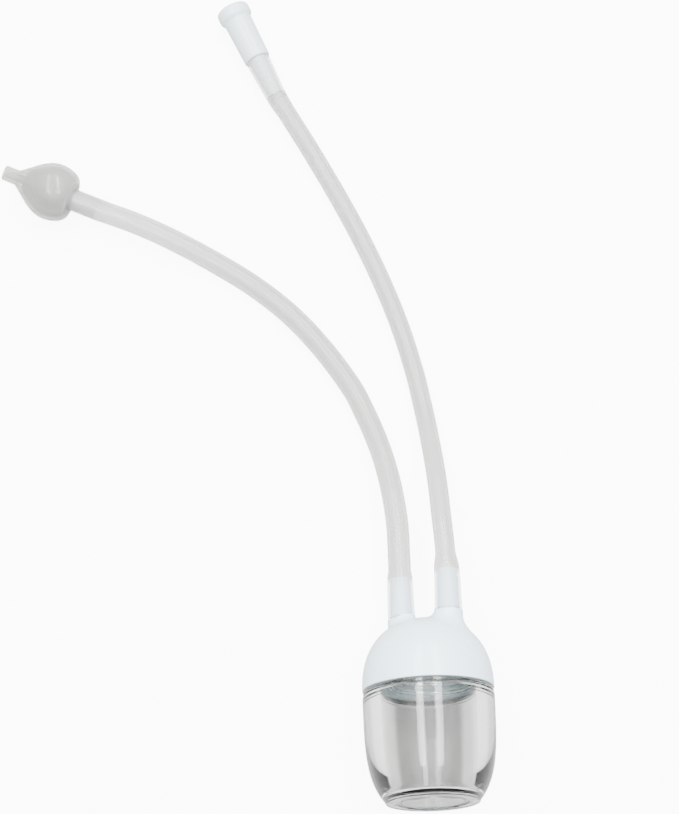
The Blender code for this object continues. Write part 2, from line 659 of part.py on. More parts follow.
# ----------------------------------------------------------------- assembly
def build():
    """Build every piece in its place."""
    clear_scene()
    white = material("white_plastic", (0.86, 0.89, 0.90), 0.25)
    clear = material("clear_plastic", (0.90, 0.92, 0.92), 0.05, 0.35, 0.9)
    soft = material("translucent_silicone", (0.80, 0.80, 0.78), 0.45, 0.8)

    lay_down = Matrix.Rotation(math.radians(-90.0), 3, "X")
    axis_seat = empty("cup_axis", (0.0, RIM_Y, AXIS_HEIGHT), lay_down)
    cap_seat = empty("cap_axis", (0.0, RIM_Y, AXIS_HEIGHT),
                     lay_down @ Matrix.Rotation(CAP_TURN, 3, "Z"))
    build_collection_cup(axis_seat, clear)
    build_seal_ring(axis_seat, soft)
    build_dome_cap(axis_seat, cap_seat, white)
    build_backflow_valve(cap_seat, soft)

    nozzle_way, tip_turn = heading_turn(TIP_HEADING, TIP_PITCH)
    tip_end = Vector(NOSE_TIP_END)
    tip_seat = empty("nose_tip_axis", tip_end, tip_turn)
    build_nose_tip(tip_seat, soft)
    build_tip_connector(tip_seat, clear)

    mouth_way, mouth_turn = heading_turn(MOUTH_HEADING, MOUTH_PITCH)
    mouth_joint = Vector(MOUTH_JOINT)
    mouth_seat = empty("mouthpiece_axis", mouth_joint, mouth_turn)
    build_mouthpiece(mouth_seat, white)

    across = PORT_OFFSET * math.cos(CAP_TURN)
    up = -PORT_OFFSET * math.sin(CAP_TURN)
    start_y = RIM_Y + PORT_SHOULDER + HOSE_END_GAP
    straight_y = RIM_Y + STEM_TOP
    nose_z, mouth_z = AXIS_HEIGHT - up, AXIS_HEIGHT + up
    lift = AXIS_HEIGHT - ROUTE_AXIS_HEIGHT
    hose_end = CONNECTOR_FLANGE_START + CONNECTOR_FLANGE_LENGTH + HOSE_END_GAP
    port_stem = (STEM_ROOT_RADIUS, STEM_TIP_RADIUS, STEM_LENGTH)
    nose_route = [(-across, start_y, nose_z), (-across, straight_y, nose_z)]
    nose_route += hung(NOSE_ROUTE, nose_z, lift)
    nose_route += [tuple(tip_end - nozzle_way * (hose_end + CONNECTOR_BACK)),
                   tuple(tip_end - nozzle_way * hose_end)]
    build_hose("nose_hose", nose_route, NOSE_HOSE_RADIUS, NOSE_HOSE_BORE, NOSE_HOSE_TAPER,
               (port_stem, (CONNECTOR_RADIUS, CONNECTOR_RADIUS, CONNECTOR_BACK)), soft)
    mouth_route = [(across, start_y, mouth_z), (across, straight_y, mouth_z)]
    mouth_route += hung(MOUTH_ROUTE, mouth_z, lift)
    mouth_route += [tuple(mouth_joint - mouth_way * (HOSE_END_GAP + MOUTH_STEM_LENGTH)),
                    tuple(mouth_joint - mouth_way * HOSE_END_GAP)]
    build_hose("mouth_hose", mouth_route, MOUTH_HOSE_RADIUS, MOUTH_HOSE_BORE, MOUTH_HOSE_TAPER,
               (port_stem, (MOUTH_STEM_ROOT_RADIUS, MOUTH_STEM_TIP_RADIUS, MOUTH_STEM_LENGTH)),
               soft)

    for item in collection(PARTS).objects:
        item.data.shade_smooth()
        item.data.set_sharp_from_angle(angle=SMOOTH_ANGLE)


build()
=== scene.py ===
"""Mouth-suction nasal aspirator: clear cup, white two-port cap, two silicone hoses.

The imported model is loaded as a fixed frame. Every piece is made in place around it,
in metres, +Z up, with the cup's axis along +Y and the ports towards +Y.
"""
from __future__ import annotations

import logging
import math
from collections.abc import Sequence
from dataclasses import dataclass, field, replace
from enum import Enum

import bmesh
import bpy
from mathutils import Matrix, Vector
from mathutils.geometry import interpolate_bezier

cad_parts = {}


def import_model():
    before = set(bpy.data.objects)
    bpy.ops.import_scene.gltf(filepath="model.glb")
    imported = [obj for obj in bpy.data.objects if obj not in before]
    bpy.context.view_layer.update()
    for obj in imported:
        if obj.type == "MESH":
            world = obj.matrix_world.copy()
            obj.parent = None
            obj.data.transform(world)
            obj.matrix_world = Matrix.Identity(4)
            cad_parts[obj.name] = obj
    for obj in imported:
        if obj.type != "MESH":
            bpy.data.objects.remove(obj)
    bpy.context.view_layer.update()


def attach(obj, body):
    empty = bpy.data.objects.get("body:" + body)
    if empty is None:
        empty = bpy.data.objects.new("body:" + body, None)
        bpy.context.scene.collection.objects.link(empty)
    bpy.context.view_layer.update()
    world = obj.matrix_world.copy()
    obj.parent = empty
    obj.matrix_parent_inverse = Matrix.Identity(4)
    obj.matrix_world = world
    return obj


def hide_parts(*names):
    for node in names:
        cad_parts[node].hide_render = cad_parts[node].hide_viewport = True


log = logging.getLogger("nasal_aspirator")

Point2 = tuple[float, float]
Point3 = tuple[float, float, float]
Corner = tuple[float, float, float]

MM = 0.001
# Vertices nearer than this are one.
MERGE = 2e-6
# A vertex this near to a wall's radius is on the wall.
ON_WALL = 0.02 * MM
SILICONE_IOR = 1.41
# The streaks' coordinate per metre of hose, and how fine they are.
LIE_SCALE = 6.0
STREAK_SCALE = 6.0

# Where the middle of each hose runs, from its port to what is on its far end.
NOSE_ROUTE: list[Point3] = [
    (-0.0070, 0.0458, 0.0143), (-0.0071, 0.0538, 0.0127), (-0.0078, 0.0623, 0.0105),
    (-0.0090, 0.0708, 0.0080), (-0.0108, 0.0793, 0.0058), (-0.0132, 0.0873, 0.0043),
    (-0.0161, 0.0950, 0.0036), (-0.0194, 0.1023, 0.0036), (-0.0281, 0.1157, 0.0036),
    (-0.0383, 0.1280, 0.0036), (-0.0502, 0.1386, 0.0036), (-0.0634, 0.1474, 0.0046),
    (-0.0768, 0.1548, 0.0066), (-0.0879, 0.1599, 0.0082),
]
MOUTH_ROUTE: list[Point3] = [
    (0.0067, 0.0458, 0.0236), (0.0063, 0.0536, 0.0213), (0.0060, 0.0624, 0.0176),
    (0.0055, 0.0716, 0.0131), (0.0047, 0.0808, 0.0087), (0.0037, 0.0898, 0.0054),
    (0.0024, 0.0984, 0.0035), (0.0009, 0.1066, 0.0032), (-0.0031, 0.1224, 0.0032),
    (-0.0083, 0.1380, 0.0032), (-0.0145, 0.1534, 0.0032), (-0.0215, 0.1686, 0.0032),
    (-0.0291, 0.1837, 0.0032), (-0.0332, 0.1914, 0.0034), (-0.0375, 0.1991, 0.0038),
]
NOSE_TIP_END: Point3 = (-0.1305, 0.1780, 0.0112)
MOUTH_JOINT: Point3 = (-0.0471, 0.2190, 0.0050)


class Body(Enum):
    """The frame's bodies."""

    CAP = "cap"
    VALVE = "valve"
    RING = "ring"
    CUP = "cup"
    NOSE_LINE = "nose_line"
    CONNECTOR = "connector"
    TIP = "tip"
    MOUTH_LINE = "mouth_line"
    MOUTH_END = "mouth_end"


class Slot(Enum):
    """The record's material slots."""

    CAP = "cap_white"
    CUP = "cup_clear"
    RING = "ring_silicone"
    VALVE = "valve_silicone"
    HOSE = "hose_silicone"
    TIP = "tip_silicone"
    CONNECTOR = "connector_clear"
    MOUTHPIECE = "mouthpiece_white"


# ------------------------------------------------------------------ profiles
def rounded(corners: Sequence[Corner], closed: bool = False, segments: int = 4) -> list[Point2]:
    """Round the corners of a profile.

    Args:
        corners: (radius, height, how far the rounding reaches) for each corner.
        closed: whether the last corner joins the first.
        segments: how many pieces each rounding has.

    Returns:
        The profile's (radius, height) points.
    """
    points: list[Point2] = []
    count = len(corners)
    for i, (r, z, reach) in enumerate(corners):
        if reach <= 0.0 or (not closed and i in (0, count - 1)):
            points.append((r, z))
            continue
        here = Vector((r, z))
        before = Vector(corners[i - 1][:2]) - here
        after = Vector(corners[(i + 1) % count][:2]) - here
        limit = min(reach, 0.48 * before.length, 0.48 * after.length)
        start, end = here + before.normalized() * limit, here + after.normalized() * limit
        for k in range(segments + 1):
            share = k / segments
            point = (start * (1.0 - share) ** 2 + here * 2.0 * share * (1.0 - share)
                     + end * share ** 2)
            points.append((point.x, point.y))
    return points


def along_line(start: Point2, end: Point2, count: int) -> list[Point2]:
    """Points inside a straight run of a profile, without its two ends."""
    return [(start[0] + (end[0] - start[0]) * i / count,
             start[1] + (end[1] - start[1]) * i / count) for i in range(1, count)]


def arc_points(centre: Point2, radius: float, start: float, end: float, count: int) -> list[Point2]:
    """Points on an arc in the (radius, height) plane, with angles in degrees."""
    angles = [math.radians(start + (end - start) * i / count) for i in range(count + 1)]
    return [(centre[0] + radius * math.cos(a), centre[1] + radius * math.sin(a)) for a in angles]


def spun(profile: Sequence[Point2], steps: int, closed: bool = False) -> bmesh.types.BMesh:
    """Spin a profile round local Z into a closed shell.

    Args:
        profile: (radius, height) points.
        steps: how many pieces a full turn has.
        closed: whether the last point joins the first.

    Returns:
        The new bmesh, with its faces pointing outwards.
    """
    work = bmesh.new()
    verts = [work.verts.new((r, 0.0, z)) for r, z in profile]
    pairs = list(zip(verts, verts[1:]))
    if closed:
        pairs.append((verts[-1], verts[0]))
    edges = [work.edges.new(pair) for pair in pairs]
    bmesh.ops.spin(work, geom=verts + edges, cent=(0.0, 0.0, 0.0), axis=(0.0, 0.0, 1.0),
                   angle=2.0 * math.pi, steps=steps, use_merge=True, use_duplicate=False)
    bmesh.ops.remove_doubles(work, verts=work.verts, dist=MERGE)
    bmesh.ops.recalc_face_normals(work, faces=work.faces)
    return work


def finished(work: bmesh.types.BMesh, name: str, place: Matrix | None = None,
             sharp: float = 50.0) -> bpy.types.Object:
    """Turn a bmesh into an object at the origin, with its place in its mesh.

    Args:
        work: the shape, which is freed.
        name: the piece's name.
        place: where the shape's local frame sits.
        sharp: edges that turn by more degrees than this stay crisp.

    Returns:
        The linked object.
    """
    if place is not None:
        bmesh.ops.transform(work, matrix=place, verts=work.verts)
    mesh = bpy.data.meshes.new(name)
    work.to_mesh(mesh)
    work.free()
    mesh.shade_smooth()
    mesh.set_sharp_from_angle(angle=math.radians(sharp))
    item = bpy.data.objects.new(name, mesh)
    bpy.context.scene.collection.objects.link(item)
    return item


def combined(base: bpy.types.Object, other: bpy.types.Object, operation: str) -> None:
    """Join or cut one object with another, apply it, and remove the other.

    Args:
        base: the object that is changed.
        other: the object that is joined to it or cut out of it.
        operation: UNION or DIFFERENCE.
    """
    step = base.modifiers.new(operation.lower(), "BOOLEAN")
    step.operation = operation
    step.solver = "EXACT"
    step.object = other
    bpy.context.view_layer.update()
    graph = bpy.context.evaluated_depsgraph_get()
    mesh = bpy.data.meshes.new_from_object(base.evaluated_get(graph))
    base.modifiers.clear()
    base.data = mesh
    bpy.data.objects.remove(other, do_unlink=True)


@dataclass(frozen=True)
class Thread:
    """A single-start right-hand thread of 1.75 turns, in the cup's axis frame."""

    start: float
    pitch: float = 2.5 * MM
    turns: float = 1.75
    depth: float = 0.8 * MM
    crest: float = 0.30 * MM
    flank: float = 0.30 * MM
    fade: float = math.radians(14.0)

    def height_at(self, angle: float, z: float) -> float:
        """How far the ridge stands out at one angle and height.

        Args:
            angle: angle round the axis, in radians.
            z: height along the axis.

        Returns:
            The ridge's height over its wall, 0 off the ridge.
        """
        best = 0.0
        last = 2.0 * math.pi * self.turns
        for turn in range(math.ceil(self.turns)):
            along = angle % (2.0 * math.pi) + 2.0 * math.pi * turn
            if along > last:
                continue
            middle = self.start + self.pitch * along / (2.0 * math.pi)
            share = (self.crest + self.flank - abs(z - middle)) / self.flank
            share = max(0.0, min(1.0, share))
            share = share * share * (3.0 - 2.0 * share)
            ends = min(1.0, along / self.fade, (last - along) / self.fade)
            best = max(best, self.depth * share * max(0.0, ends) ** 0.5)
        return best


# ------------------------------------------------------------------ finishes
@dataclass(frozen=True)
class Finish:
    """A moulded or extruded plastic, with small variations on Object coordinates."""

    name: str
    colour: tuple[float, float, float]
    mottle: tuple[float, float, float]
    roughness: float
    roughness_spread: float = 0.05
    transmission: float = 0.0
    alpha: float = 1.0
    ior: float = 1.5
    subsurface: float = 0.0
    subsurface_reach: float = 0.0015
    mottle_scale: float = 90.0
    bump_scale: float = 1400.0
    bump_height: float = 0.00002
    coat: float = 0.0
    streaks: bool = False

    def build(self) -> bpy.types.Material:
        """Make the node material.

        Returns:
            The material, with its constants on the shader's own sockets.
        """
        made = bpy.data.materials.new(self.name)
        made.use_nodes = True
        tree = made.node_tree
        shader = tree.nodes["Principled BSDF"]
        shader.inputs["IOR"].default_value = self.ior
        shader.inputs["Transmission Weight"].default_value = self.transmission
        shader.inputs["Alpha"].default_value = self.alpha
        shader.inputs["Subsurface Weight"].default_value = self.subsurface
        shader.inputs["Subsurface Scale"].default_value = self.subsurface_reach
        shader.inputs["Subsurface Radius"].default_value = (1.0, 0.95, 0.9)
        shader.inputs["Coat Weight"].default_value = self.coat
        shader.inputs["Coat Roughness"].default_value = 0.08
        where = tree.nodes.new("ShaderNodeTexCoord")
        cloudy = self._noise(tree, where, self.mottle_scale, 3.0)
        mix = tree.nodes.new("ShaderNodeMix")
        mix.data_type = "RGBA"
        mix.inputs["A"].default_value = (*self.colour, 1.0)
        mix.inputs["B"].default_value = (*self.mottle, 1.0)
        tree.links.new(cloudy.outputs["Fac"], mix.inputs["Factor"])
        tree.links.new(mix.outputs["Result"], shader.inputs["Base Color"])
        worn = self._noise(tree, where, self.mottle_scale * 5.0, 4.0)
        spread = tree.nodes.new("ShaderNodeMapRange")
        spread.inputs["To Min"].default_value = max(0.0, self.roughness - self.roughness_spread)
        spread.inputs["To Max"].default_value = self.roughness + self.roughness_spread
        tree.links.new(worn.outputs["Fac"], spread.inputs["Value"])
        tree.links.new(spread.outputs["Result"], shader.inputs["Roughness"])
        relief = self._streaks(tree) if self.streaks else self._noise(
            tree, where, self.bump_scale, 2.0)
        bump = tree.nodes.new("ShaderNodeBump")
        bump.inputs["Strength"].default_value = 0.6
        bump.inputs["Distance"].default_value = self.bump_height
        tree.links.new(relief.outputs["Fac"], bump.inputs["Height"])
        tree.links.new(bump.outputs["Normal"], shader.inputs["Normal"])
        return made

    @staticmethod
    def _noise(tree: bpy.types.NodeTree, where: bpy.types.Node, scale: float,
               detail: float) -> bpy.types.Node:
        """Add a noise texture that reads Object coordinates.

        Args:
            tree: the material's nodes.
            where: the coordinates.
            scale: how fine the noise is.
            detail: how many finer layers it has.

        Returns:
            The noise node.
        """
        noise = tree.nodes.new("ShaderNodeTexNoise")
        noise.inputs["Scale"].default_value = scale
        noise.inputs["Detail"].default_value = detail
        tree.links.new(where.outputs["Object"], noise.inputs["Vector"])
        return noise

    @staticmethod
    def _streaks(tree: bpy.types.NodeTree) -> bpy.types.Node:
        """Add the faint lengthwise lines that an extruder leaves on a hose.

        Args:
            tree: the material's nodes.

        Returns:
            The noise node.
        """
        lie = tree.nodes.new("ShaderNodeAttribute")
        lie.attribute_name = "lie"
        noise = tree.nodes.new("ShaderNodeTexNoise")
        noise.inputs["Scale"].default_value = STREAK_SCALE
        noise.inputs["Detail"].default_value = 3.0
        tree.links.new(lie.outputs["Vector"], noise.inputs["Vector"])
        return noise


class Finishes:
    """Every finish on the object, made once."""

    def __init__(self) -> None:
        """Make the materials."""
        self.white = Finish("white_polypropylene", (0.76, 0.92, 1.0), (0.73, 0.89, 0.97),
                            0.28, coat=0.2).build()
        self.mouth_white = Finish("white_mouthpiece_plastic", (0.66, 0.76, 0.81),
                                  (0.63, 0.73, 0.78), 0.28, subsurface=0.2, coat=0.1).build()
        self.clear = Finish("clear_polystyrene", (0.955, 0.96, 0.95), (0.945, 0.955, 0.945),
                            0.012, 0.01, transmission=1.0, ior=1.49,
                            bump_scale=260.0, bump_height=0.000006).build()
        # The ring's dark grey tint is painted shade: it darkens the line where the cap meets the
        # cup.
        self.ring = Finish("clear_ring_silicone", (0.30, 0.33, 0.33), (0.27, 0.30, 0.30),
                           0.06, transmission=1.0, ior=SILICONE_IOR).build()
        hose = Finish("milky_hose_silicone", (0.86, 0.86, 0.85), (0.82, 0.82, 0.80),
                      0.22, transmission=0.72, alpha=0.78, ior=SILICONE_IOR,
                      bump_height=0.00003, streaks=True)
        self.hose = hose.build()
        # Copies of the hose silicone for its ends on stems, less refractive and more see-through.
        # The copy on the cap's stems is also tinted bluish white: painted light of the lit white
        # stem showing through, which a pulled-off end keeps.
        self.hose_painted_light_on_port = replace(
            hose, name="hose_silicone_painted_light_on_white_stem", colour=(0.84, 0.92, 0.96),
            mottle=(0.81, 0.89, 0.93), transmission=0.30, alpha=0.48).build()
        self.hose_on_mouth = replace(
            hose, name="hose_silicone_on_mouth_stem", colour=(0.84, 0.84, 0.835),
            mottle=(0.81, 0.81, 0.80), transmission=0.40, alpha=0.50).build()
        self.tip = Finish("grey_tip_silicone", (0.54, 0.56, 0.58), (0.55, 0.56, 0.48),
                          0.20, transmission=0.66, alpha=0.80, ior=SILICONE_IOR,
                          mottle_scale=60.0).build()
        self.valve = Finish("milky_valve_silicone", (0.90, 0.90, 0.87), (0.86, 0.87, 0.84),
                            0.42, transmission=0.3, ior=SILICONE_IOR, subsurface=0.2).build()
        self.connector = Finish("frosted_connector_plastic", (0.88, 0.90, 0.90),
                                (0.84, 0.86, 0.86), 0.22, transmission=0.6).build()


def dress(item: bpy.types.Object, material: bpy.types.Material, slot: Slot, body: Body,
          *nodes: str) -> bpy.types.Object:
    """Give a piece its finish, its body, and the CAD nodes it stands for.

    Args:
        item: the piece.
        material: its finish.
        slot: the record's slot for the finish; not used.
        body: the body that it moves with.
        nodes: the CAD nodes that it replaces.

    Returns:
        The same piece.
    """
    item.data.materials.clear()
    item.data.materials.append(material)
    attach(item, body.value)
    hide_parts(*nodes)
    log.info("%s: %d faces on %s", item.name, len(item.data.polygons), body.value)
    return item


# -------------------------------------------------------------- cup and cap
@dataclass
class Cup:
    """The thick-walled clear collection cup with its threaded neck."""

    axis_height: float = 20.0 * MM
    rim_y: float = -0.4 * MM
    radius: float = 20.0 * MM
    shoulder: float = -1.8 * MM
    foot: float = -34.4 * MM
    neck_top: float = 7.0 * MM
    bore: float = 14.6 * MM
    draft: float = 0.3 * MM
    neck: float = 16.2 * MM
    floor: float = 2.4 * MM
    floor_fillet: float = 1.4 * MM
    wall_top: float = 2.6 * MM
    closing: float = 38.9 * MM
    closing_power: int = 4
    closing_root: float = 0.4
    foot_round: float = 0.8 * MM
    recess_radius: float = 10.9 * MM
    recess_depth: float = 0.6 * MM
    pad_radius: float = 9.6 * MM
    pad_height: float = 0.3 * MM
    gate_radius: float = 0.7 * MM
    steps: int = 192
    thread: Thread = field(default_factory=lambda: Thread(start=1.2 * MM))

    def place(self) -> Matrix:
        """Frame whose local +Z runs along the cup's axis, from the rim plane."""
        return (Matrix.Translation((0.0, self.rim_y, self.axis_height))
                @ Matrix.Rotation(math.radians(-90.0), 4, "X"))

    def wall_radius(self, depth: float) -> float:
        """Outer radius at a depth below the rim plane."""
        closed = (depth / self.closing) ** self.closing_power
        return self.radius * (1.0 - closed) ** self.closing_root

    def profile(self) -> list[Point2]:
        """Inside floor, bore, neck, shoulder, outer wall and base in one run.

        Returns:
            The (radius, height) points from the axis to the axis.
        """
        inside = self.foot + self.floor
        fillet = self.floor_fillet
        floor_radius = self.bore - self.draft
        points: list[Point2] = [(0.0, inside), (0.5 * floor_radius, inside)]
        points += arc_points((floor_radius - fillet, inside + fillet), fillet, -90.0, 0.0, 10)
        points += along_line(points[-1], (self.bore, self.neck_top), 14)
        below_lip = self.neck_top - 1.0 * MM
        points += rounded([(self.bore, below_lip, 0.0),
                           (self.bore, self.neck_top, 0.35 * MM),
                           (self.neck, self.neck_top, 0.35 * MM),
                           (self.neck, below_lip, 0.0)])[1:]
        points += along_line((self.neck, below_lip), (self.neck, self.shoulder), 72)
        top = self.wall_radius(-self.shoulder)
        points += rounded([(self.neck, self.shoulder + 0.1 * MM, 0.0),
                           (self.neck, self.shoulder, 0.25 * MM),
                           (top, self.shoulder, 0.45 * MM),
                           (self.wall_radius(self.wall_top), -self.wall_top, 0.0)], segments=5)
        last = -self.foot - self.foot_round
        rings = 40
        for i in range(1, rings + 1):
            depth = self.wall_top + (last - self.wall_top) * (i / rings) ** 0.85
            points.append((self.wall_radius(depth), -depth))
        edge = self.wall_radius(last)
        recess = self.foot + self.recess_depth
        pad = recess - self.pad_height
        points += rounded([
            (edge, -last, 0.0), (edge - 0.35 * self.foot_round, self.foot, 0.8 * MM),
            (self.recess_radius, self.foot, 0.2 * MM),
            (self.recess_radius - 0.35 * self.recess_depth, recess, 0.25 * MM),
            (self.pad_radius, recess, 0.2 * MM),
            (self.pad_radius - 0.5 * self.pad_height, pad, 0.2 * MM),
            (self.gate_radius + 0.3 * MM, pad, 0.1 * MM),
            (self.gate_radius, recess, 0.1 * MM), (0.0, recess, 0.0)], segments=5)[1:]
        return points

    def build(self, finishes: Finishes) -> bpy.types.Object:
        """Make the cup.

        Args:
            finishes: the object's materials.

        Returns:
            The cup.
        """
        work = spun(self.profile(), self.steps)
        for vert in work.verts:
            reach = math.hypot(vert.co.x, vert.co.y)
            if abs(reach - self.neck) < ON_WALL and self.shoulder < vert.co.z < self.neck_top:
                rise = self.thread.height_at(math.atan2(vert.co.y, vert.co.x), vert.co.z)
                vert.co.xy *= (reach + rise) / reach
        item = finished(work, "cup_body", self.place())
        return dress(item, finishes.clear, Slot.CUP, Body.CUP, "collection_cup")


@dataclass
class SealRing:
    """The flat clear ring between the cap's rim and the cup's shoulder."""

    cup: Cup
    height: float = 1.2 * MM
    gap: float = 0.3 * MM
    inset: float = 0.2 * MM

    def build(self, finishes: Finishes) -> bpy.types.Object:
        """Make the ring.

        Args:
            finishes: the object's materials.

        Returns:
            The ring.
        """
        top, bottom = -self.gap, -self.gap - self.height
        inner, outer = self.cup.neck + self.gap, self.cup.radius - self.inset
        profile = rounded([(outer, top, 0.4 * MM), (outer, bottom, 0.4 * MM),
                           (inner, bottom, 0.2 * MM), (inner, top, 0.2 * MM)], closed=True)
        item = finished(spun(profile, self.cup.steps, closed=True), "seal_ring_band",
                        self.cup.place())
        return dress(item, finishes.ring, Slot.RING, Body.RING, "seal_ring")


@dataclass
class Cap:
    """The white domed cap with its two ports, threaded skirt and inner nipple."""

    cup: Cup
    radius: float = 20.0 * MM
    height: float = 21.8 * MM
    roundness: float = 2.3
    wall: float = 2.0 * MM
    bore: float = 17.4 * MM
    bore_depth: float = 7.8 * MM
    turn: float = math.radians(-35.0)
    port_offset: float = 8.6 * MM
    port_radius: float = 4.3 * MM
    port_flare: float = 2.9 * MM
    shoulder: float = 23.2 * MM
    stem_root: float = 3.2 * MM
    stem_tip: float = 2.9 * MM
    stem_bore: float = 1.9 * MM
    stem_top: float = 35.2 * MM
    hose_gap: float = 0.6 * MM
    nipple_radius: float = 3.1 * MM
    nipple_end: float = 10.0 * MM
    steps: int = 192

    def place(self) -> Matrix:
        """Frame whose local +Z is the cap's axis and whose local X holds both ports."""
        return self.cup.place() @ Matrix.Rotation(self.turn, 4, "Z")

    def port_point(self, side: float, height: float) -> Vector:
        """A point on one port's axis.

        Args:
            side: -1 for the nose port, 1 for the mouth port.
            height: height over the rim plane.

        Returns:
            The point, in the frame of the whole object.
        """
        return self.place() @ Vector((side * self.port_offset, 0.0, height))

    def dome(self, reach: float, radius: float, height: float) -> float:
        """Height of a dome's surface at a distance from its axis."""
        share = min(1.0, reach / radius)
        return height * (1.0 - share ** self.roundness) ** (1.0 / self.roundness)

    def dome_run(self, radius: float, height: float, lowest: float, count: int) -> list[Point2]:
        """A dome's profile from its top down to the lowest height.

        Args:
            radius: the dome's radius at height 0.
            height: the dome's height.
            lowest: where the run stops.
            count: how many pieces it has.

        Returns:
            The (radius, height) points.
        """
        power = 2.0 / self.roundness
        last = math.asin((lowest / height) ** (1.0 / power))
        points: list[Point2] = [(0.0, height)]
        for i in range(1, count + 1):
            angle = math.pi / 2.0 + (last - math.pi / 2.0) * i / count
            points.append((radius * max(math.cos(angle), 0.0) ** power,
                           height * math.sin(angle) ** power))
        return points

    def shell(self) -> bmesh.types.BMesh:
        """Make the dome and skirt with the thread inside.

        Returns:
            The closed shell, in the cap's frame.
        """
        outside_low, inside_low = 0.5 * MM, 0.8 * MM
        points = self.dome_run(self.radius, self.height, outside_low, 56)
        points += rounded([(self.radius, outside_low, 0.0), (self.radius, 0.0, 0.35 * MM),
                           (self.bore, 0.0, 0.35 * MM), (self.bore, inside_low, 0.0)])[1:]
        points += along_line((self.bore, inside_low), (self.bore, self.bore_depth), 60)
        inner = self.dome_run(self.bore - 0.6 * MM, self.height - self.wall, self.bore_depth, 30)
        points += [(self.bore, self.bore_depth), *reversed(inner)]
        work = spun(points, self.steps)
        thread = Thread(start=self.cup.thread.start + self.cup.thread.pitch / 2.0)
        for vert in work.verts:
            reach = math.hypot(vert.co.x, vert.co.y)
            if abs(reach - self.bore) < ON_WALL and vert.co.z < self.bore_depth - 0.1 * MM:
                rise = thread.height_at(math.atan2(vert.co.y, vert.co.x) + self.turn, vert.co.z)
                vert.co.xy *= (reach - rise) / reach
        return work

    def follow_dome(self, work: bmesh.types.BMesh, side: float, limit: float) -> None:
        """Lift the low part of a port onto the dome and move it to its place.

        Args:
            work: the port, turned round its own axis.
            side: -1 for the nose port, 1 for the mouth port.
            limit: heights over this are already measured from the rim plane.
        """
        bmesh.ops.translate(work, verts=work.verts, vec=(side * self.port_offset, 0.0, 0.0))
        for vert in work.verts:
            if vert.co.z < limit:
                reach = math.hypot(vert.co.x, vert.co.y)
                vert.co.z += self.dome(reach, self.radius, self.height)

    def port(self, side: float) -> bmesh.types.BMesh:
        """Make one port: a flare that follows the dome, a shoulder and a stem.

        Args:
            side: -1 for the nose port, 1 for the mouth port.

        Returns:
            The closed port, in the cap's frame.
        """
        flare, edge = self.port_flare, self.port_radius + self.port_flare
        skirt = [(self.port_radius + flare - flare * math.cos(a), flare - flare * math.sin(a))
                 for a in (math.radians(90.0 * i / 12) for i in range(13))]
        skirt.reverse()
        sunk, widest = -1.0 * MM, edge + 0.2 * MM
        profile: list[Point2] = [(0.0, sunk), (0.5 * edge, sunk), (widest, sunk),
                                 (widest, -0.06 * MM)]
        profile += skirt
        top, root, stem = self.stem_top, self.stem_root, self.stem_tip
        profile += rounded([
            (self.port_radius, self.shoulder - 0.5 * MM, 0.0),
            (self.port_radius, self.shoulder, 0.35 * MM), (root, self.shoulder, 0.2 * MM),
            (stem, top - 3.2 * MM, 0.3 * MM), (stem + 0.2 * MM, top - 2.6 * MM, 0.3 * MM),
            (stem + 0.1 * MM, top - 1.6 * MM, 0.4 * MM), (stem - 0.6 * MM, top, 0.3 * MM),
            (0.0, top, 0.0)])
        work = spun(profile, 96)
        self.follow_dome(work, side, 10.0 * MM)
        return work

    def build(self, finishes: Finishes) -> bpy.types.Object:
        """Make the cap.

        Args:
            finishes: the object's materials.

        Returns:
            The cap.
        """
        cap = finished(self.shell(), "cap_dome", self.place())
        sunk = -1.6 * MM
        nipple = spun([(0.0, sunk), (self.nipple_radius, sunk),
                       (self.nipple_radius, self.nipple_end), (0.0, self.nipple_end)], 64)
        self.follow_dome(nipple, -1.0, 0.0)
        for work, name in ((self.port(-1.0), "nose_port"), (self.port(1.0), "mouth_port"),
                           (nipple, "valve_nipple")):
            bmesh.ops.recalc_face_normals(work, faces=work.faces)
            combined(cap, finished(work, name, self.place()), "UNION")
        for side in (-1.0, 1.0):
            cutter = bmesh.new()
            length = self.stem_top - self.nipple_end + 4.0 * MM
            bmesh.ops.create_cone(cutter, cap_ends=True, segments=48, radius1=self.stem_bore,
                                  radius2=self.stem_bore, depth=length)
            bmesh.ops.translate(cutter, verts=cutter.verts, vec=(
                side * self.port_offset, 0.0, 0.5 * (self.stem_top + self.nipple_end)))
            combined(cap, finished(cutter, "stem_bore", self.place()), "DIFFERENCE")
        cap.data.shade_smooth()
        cap.data.set_sharp_from_angle(angle=math.radians(40.0))
        return dress(cap, finishes.white, Slot.CAP, Body.CAP, "dome_cap")


